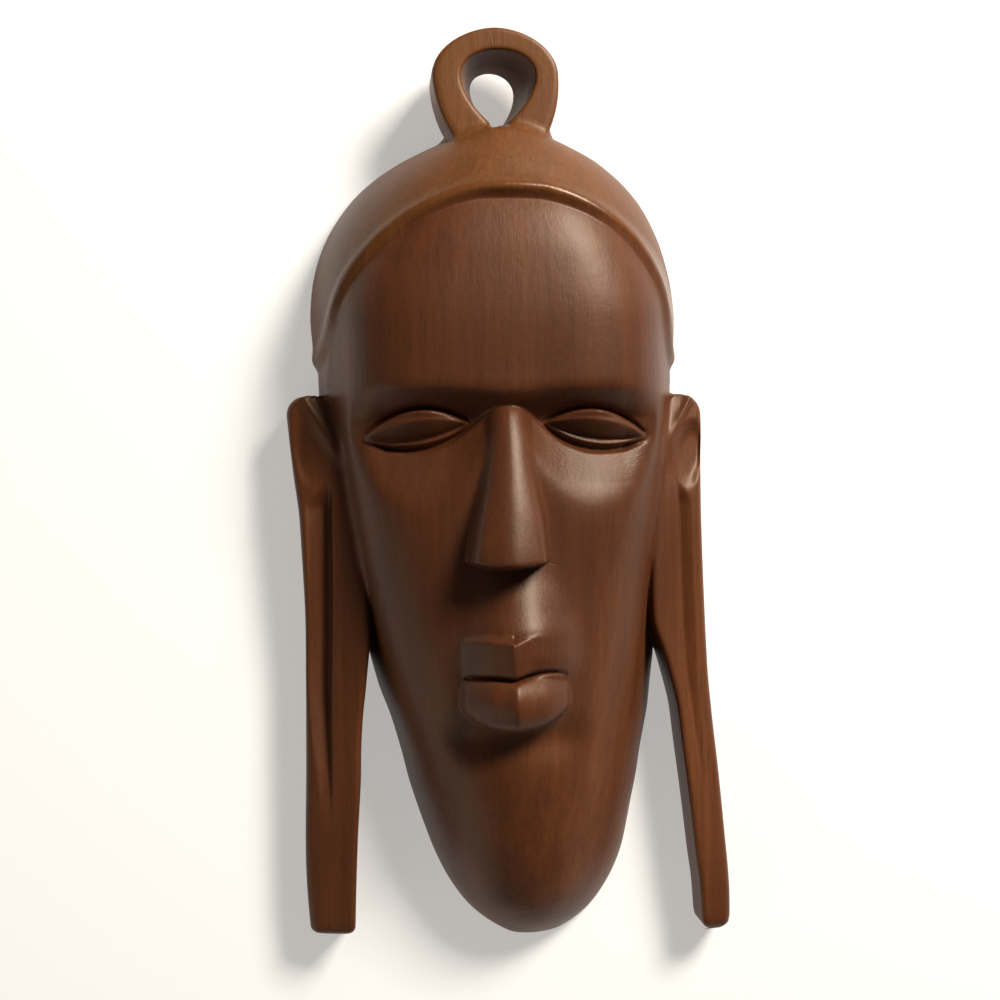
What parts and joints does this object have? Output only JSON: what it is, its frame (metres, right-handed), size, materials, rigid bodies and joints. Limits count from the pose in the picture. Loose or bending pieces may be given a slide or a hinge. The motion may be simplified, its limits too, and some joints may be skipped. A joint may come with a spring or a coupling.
{
  "type": "carved wooden tribal mask",
  "caption": "Long carved hardwood wall mask with a cap, closed eyes, wedge nose, stretched earlobes hanging free beside the chin, and a loop on the crown to hang it by.",
  "frame": {"origin": "middle of the mask's flat back, on the surface that it lies on", "axes": "+Z out of the face, +Y from the chin to the hanging loop, +X to the viewer's right"},
  "size_m": [0.1708, 0.3498, 0.074],
  "materials": {
    "wood": "waxed dark red-brown hardwood with a soft satin sheen"
  },
  "bodies": {
    "root": {"mask": "wood"}
  },
  "joints": []
}
